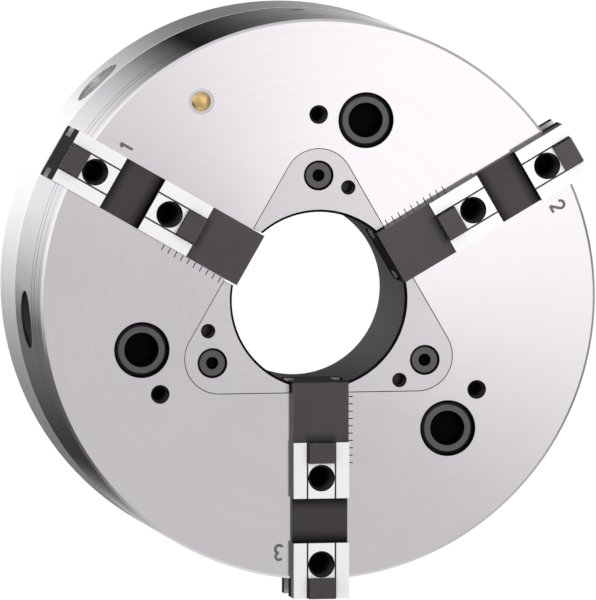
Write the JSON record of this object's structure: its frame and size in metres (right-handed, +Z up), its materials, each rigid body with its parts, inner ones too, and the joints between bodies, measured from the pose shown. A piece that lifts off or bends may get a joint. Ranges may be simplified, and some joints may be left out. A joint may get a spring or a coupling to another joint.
{
  "type": "lathe chuck",
  "caption": "Power-operated lathe chuck with a large through-hole; an inner wedge piston slides tongue-and-groove base jaws in radial guideways.",
  "frame": {"origin": "centre of the rear mounting face, on the spindle axis", "axes": "+Y along the spindle axis out of the rear face, the jaws look to -Y; +Z up, with one jaw hanging straight down; +X to the right seen from the front"},
  "size_m": [0.26, 0.1291, 0.268],
  "materials": {
    "body_steel": "hardened and ground, satin-mirror face",
    "flange_steel": "turned and fine ground",
    "sleeve_steel": "brushed, nickel grey",
    "jaw_steel": "case hardened dark flanks, ground lands",
    "piston_steel": "hardened and ground",
    "ring_steel": "turned",
    "head_steel": "faced screw heads with dark sockets",
    "screw_steel": "black oxide",
    "bright_steel": "ground bright",
    "plated_steel": "zinc plated",
    "valve_brass": "turned brass",
    "seal_rubber": "matte black nitrile"
  },
  "bodies": {
    "housing": {"chuck_body": "body_steel", "rear_flange": "flange_steel", "flange_o_ring": "seal_rubber", "flange_dowel_pins": "bright_steel", "center_sleeve": "sleeve_steel", "sleeve_seal": "seal_rubber", "mounting_screws": "head_steel", "sleeve_screws": "head_steel", "piston_guide_pins": "bright_steel", "radial_set_screws": "screw_steel", "grease_nipple": "plated_steel", "grease_port_insert": "bright_steel", "grease_port_valve": "valve_brass"},
    "piston": {"wedge_piston": "piston_steel", "ring_retainer": "ring_steel", "ring_retainer_screws": "screw_steel", "ring_detent_plungers": "screw_steel"},
    "draw_ring": {"draw_tube_ring": "ring_steel"},
    "jaw_1": {"base_jaw_1": "jaw_steel"},
    "jaw_2": {"base_jaw_2": "jaw_steel"},
    "jaw_3": {"base_jaw_3": "jaw_steel"}
  },
  "joints": [
    {"name": "piston_slide", "type": "slide", "parent": "housing", "child": "piston", "axis": [0, 1, 0], "range_m": [-0.013, 0.013]},
    {"name": "draw_ring_turn", "type": "hinge", "parent": "piston", "child": "draw_ring", "pos_m": [0, -0.031, 0], "axis": [0, 1, 0], "continuous": true},
    {"name": "jaw_1_slide", "type": "slide", "parent": "housing", "child": "jaw_1", "axis": [0.866, 0, -0.5], "range_m": [-0.00348, 0.00348]},
    {"name": "jaw_2_slide", "type": "slide", "parent": "housing", "child": "jaw_2", "axis": [-0.866, 0, -0.5], "range_m": [-0.00348, 0.00348]},
    {"name": "jaw_3_slide", "type": "slide", "parent": "housing", "child": "jaw_3", "axis": [0, 0, 1], "range_m": [-0.00348, 0.00348]}
  ],
  "couplings": [
    {"joint": "jaw_1_slide", "follows": "piston_slide", "ratio": 0.26795},
    {"joint": "jaw_2_slide", "follows": "piston_slide", "ratio": 0.26795},
    {"joint": "jaw_3_slide", "follows": "piston_slide", "ratio": 0.26795}
  ]
}
